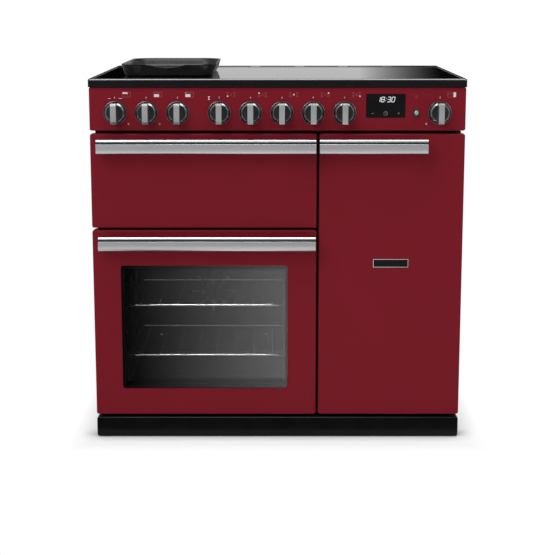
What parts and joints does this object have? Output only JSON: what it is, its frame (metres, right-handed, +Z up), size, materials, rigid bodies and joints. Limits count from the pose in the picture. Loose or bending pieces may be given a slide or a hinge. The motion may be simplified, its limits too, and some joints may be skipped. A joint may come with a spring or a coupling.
{
  "type": "induction range cooker",
  "caption": "Free-standing induction range cooker with a glass hob, grill and oven doors that drop, a tall side-hinged oven, bar handles, bar-grip knobs and a lift-off griddle.",
  "frame": {"origin": "centre of the base on the floor, under the middle of the overall box", "axes": "+X to the right seen from the front, +Y to the back, +Z up"},
  "size_m": [0.9, 0.645, 0.9154],
  "materials": {
    "red_enamel": "gloss",
    "black_enamel": "gloss",
    "black_sheet": "satin",
    "galvanised": "satin",
    "handle_steel": "brushed",
    "chrome_wire": "polished",
    "cavity_enamel": "gloss",
    "dark_glass": "polished",
    "hob_glass": "polished",
    "knob_metal": "satin",
    "cast_black": "satin",
    "black_plastic": "matte",
    "display": "gloss",
    "gasket": "matte",
    "fibre": "matte",
    "copper_coil": "satin",
    "board_green": "matte",
    "element_steel": "satin",
    "foot_plastic": "matte"
  },
  "bodies": {
    "cabinet": {"base_tray": "galvanised", "levelling_feet": "foot_plastic", "side_panels": "black_sheet", "rear_panel": "galvanised", "front_frame": "black_sheet", "plinth": "black_enamel", "terminal_box": "black_plastic", "main_oven_liner": "cavity_enamel", "grill_liner": "cavity_enamel", "tall_oven_liner": "cavity_enamel", "oven_insulation": "fibre", "door_seals": "gasket", "door_catches": "galvanised", "door_hinges": "galvanised", "shelf_guides": "chrome_wire", "fan_baffles": "cavity_enamel", "fan_motors": "galvanised", "ring_elements": "element_steel", "oven_lamps": "dark_glass", "grill_element": "element_steel", "control_panel": "red_enamel", "display_module": "display", "panel_switches": "black_plastic", "hob_trim": "black_enamel", "hob_glass": "hob_glass", "vent_strip": "black_enamel", "coil_tray": "galvanised", "induction_coils": "copper_coil", "power_boards": "board_green", "blower_housing": "galvanised"},
    "grill_door": {"grill_door_panel": "red_enamel", "grill_door_inner": "cavity_enamel", "grill_door_handle": "handle_steel"},
    "main_door": {"main_door_panel": "red_enamel", "main_door_inner": "cavity_enamel", "main_door_glass": "dark_glass", "main_door_handle": "handle_steel"},
    "tall_door": {"tall_door_panel": "red_enamel", "tall_door_inner": "cavity_enamel", "tall_door_handle": "handle_steel"},
    "light_button": {"light_button": "knob_metal"},
    "griddle": {"griddle": "cast_black"},
    "grill_tray": {"grill_pan": "cavity_enamel", "grill_trivet": "chrome_wire"},
    "main_rack_upper": {"main_rack_upper": "chrome_wire"},
    "main_rack_lower": {"main_rack_lower": "chrome_wire"},
    "tall_rack_upper": {"tall_rack_upper": "chrome_wire"},
    "tall_rack_lower": {"tall_rack_lower": "chrome_wire"},
    "main_fan": {"main_fan_wheel": "galvanised"},
    "tall_fan": {"tall_fan_wheel": "galvanised"},
    "blower": {"blower_rotor": "galvanised"},
    "knob_1": {"knob_1": "knob_metal"},
    "knob_2": {"knob_2": "knob_metal"},
    "knob_3": {"knob_3": "knob_metal"},
    "knob_4": {"knob_4": "knob_metal"},
    "knob_5": {"knob_5": "knob_metal"},
    "knob_6": {"knob_6": "knob_metal"},
    "knob_7": {"knob_7": "knob_metal"},
    "knob_8": {"knob_8": "knob_metal"},
    "knob_9": {"knob_9": "knob_metal"}
  },
  "joints": [
    {"name": "door_grill", "type": "hinge", "parent": "cabinet", "child": "grill_door", "pos_m": [-0.177, -0.2675, 0.5421], "axis": [1, 0, 0], "range_deg": [0, 90]},
    {"name": "door_main_oven", "type": "hinge", "parent": "cabinet", "child": "main_door", "pos_m": [-0.177, -0.2675, 0.0733], "axis": [1, 0, 0], "range_deg": [0, 90]},
    {"name": "door_tall_oven", "type": "hinge", "parent": "cabinet", "child": "tall_door", "pos_m": [0.434, -0.2675, 0.407], "axis": [0, 0, 1], "range_deg": [0, 110]},
    {"name": "griddle_lift", "type": "slide", "parent": "cabinet", "child": "griddle", "axis": [0, 0, 1], "range_m": [0, 0.12]},
    {"name": "knob_1_turn", "type": "hinge", "parent": "cabinet", "child": "knob_1", "pos_m": [-0.3865, -0.3, 0.806], "axis": [0, 1, 0], "range_deg": [0, 270]},
    {"name": "knob_2_turn", "type": "hinge", "parent": "cabinet", "child": "knob_2", "pos_m": [-0.312, -0.3, 0.806], "axis": [0, 1, 0], "range_deg": [0, 270]},
    {"name": "knob_3_turn", "type": "hinge", "parent": "cabinet", "child": "knob_3", "pos_m": [-0.2375, -0.3, 0.806], "axis": [0, 1, 0], "range_deg": [0, 270]},
    {"name": "knob_4_turn", "type": "hinge", "parent": "cabinet", "child": "knob_4", "pos_m": [-0.1384, -0.3, 0.806], "axis": [0, 1, 0], "range_deg": [0, 300]},
    {"name": "knob_5_turn", "type": "hinge", "parent": "cabinet", "child": "knob_5", "pos_m": [-0.0639, -0.3, 0.806], "axis": [0, 1, 0], "range_deg": [0, 300]},
    {"name": "knob_6_turn", "type": "hinge", "parent": "cabinet", "child": "knob_6", "pos_m": [0.0106, -0.3, 0.806], "axis": [0, 1, 0], "range_deg": [0, 300]},
    {"name": "knob_7_turn", "type": "hinge", "parent": "cabinet", "child": "knob_7", "pos_m": [0.0851, -0.3, 0.806], "axis": [0, 1, 0], "range_deg": [0, 300]},
    {"name": "knob_8_turn", "type": "hinge", "parent": "cabinet", "child": "knob_8", "pos_m": [0.1596, -0.3, 0.806], "axis": [0, 1, 0], "range_deg": [0, 300]},
    {"name": "knob_9_turn", "type": "hinge", "parent": "cabinet", "child": "knob_9", "pos_m": [0.386, -0.3, 0.806], "axis": [0, 1, 0], "range_deg": [0, 270]},
    {"name": "light_press", "type": "slide", "parent": "cabinet", "child": "light_button", "axis": [0, 1, 0], "range_m": [0, 0.002], "stiffness_N_per_m": 400},
    {"name": "rack_main_upper", "type": "slide", "parent": "cabinet", "child": "main_rack_upper", "axis": [0, -1, 0], "range_m": [0, 0.2]},
    {"name": "rack_main_lower", "type": "slide", "parent": "cabinet", "child": "main_rack_lower", "axis": [0, -1, 0], "range_m": [0, 0.18]},
    {"name": "rack_tall_upper", "type": "slide", "parent": "cabinet", "child": "tall_rack_upper", "axis": [0, -1, 0], "range_m": [0, 0.085]},
    {"name": "rack_tall_lower", "type": "slide", "parent": "cabinet", "child": "tall_rack_lower", "axis": [0, -1, 0], "range_m": [0, 0.085]},
    {"name": "tray_grill", "type": "slide", "parent": "cabinet", "child": "grill_tray", "axis": [0, -1, 0], "range_m": [0, 0.115]},
    {"name": "vent_fan_main", "type": "hinge", "parent": "cabinet", "child": "main_fan", "pos_m": [-0.177, 0.1675, 0.2745], "axis": [0, 1, 0], "continuous": true},
    {"name": "vent_fan_tall", "type": "hinge", "parent": "cabinet", "child": "tall_fan", "pos_m": [0.274, 0.1675, 0.405], "axis": [0, 1, 0], "continuous": true},
    {"name": "vent_blower", "type": "hinge", "parent": "cabinet", "child": "blower", "pos_m": [0, 0.12, 0.7976], "axis": [1, 0, 0], "continuous": true}
  ],
  "couplings": [
    {"joint": "rack_main_upper", "follows": "door_main_oven", "m_per_rad": 0.127},
    {"joint": "rack_main_lower", "follows": "door_main_oven", "m_per_rad": 0.1125},
    {"joint": "tray_grill", "follows": "door_grill", "m_per_rad": 0.072},
    {"joint": "rack_tall_upper", "follows": "door_tall_oven", "m_per_rad": 0.042},
    {"joint": "rack_tall_lower", "follows": "door_tall_oven", "m_per_rad": 0.042}
  ]
}
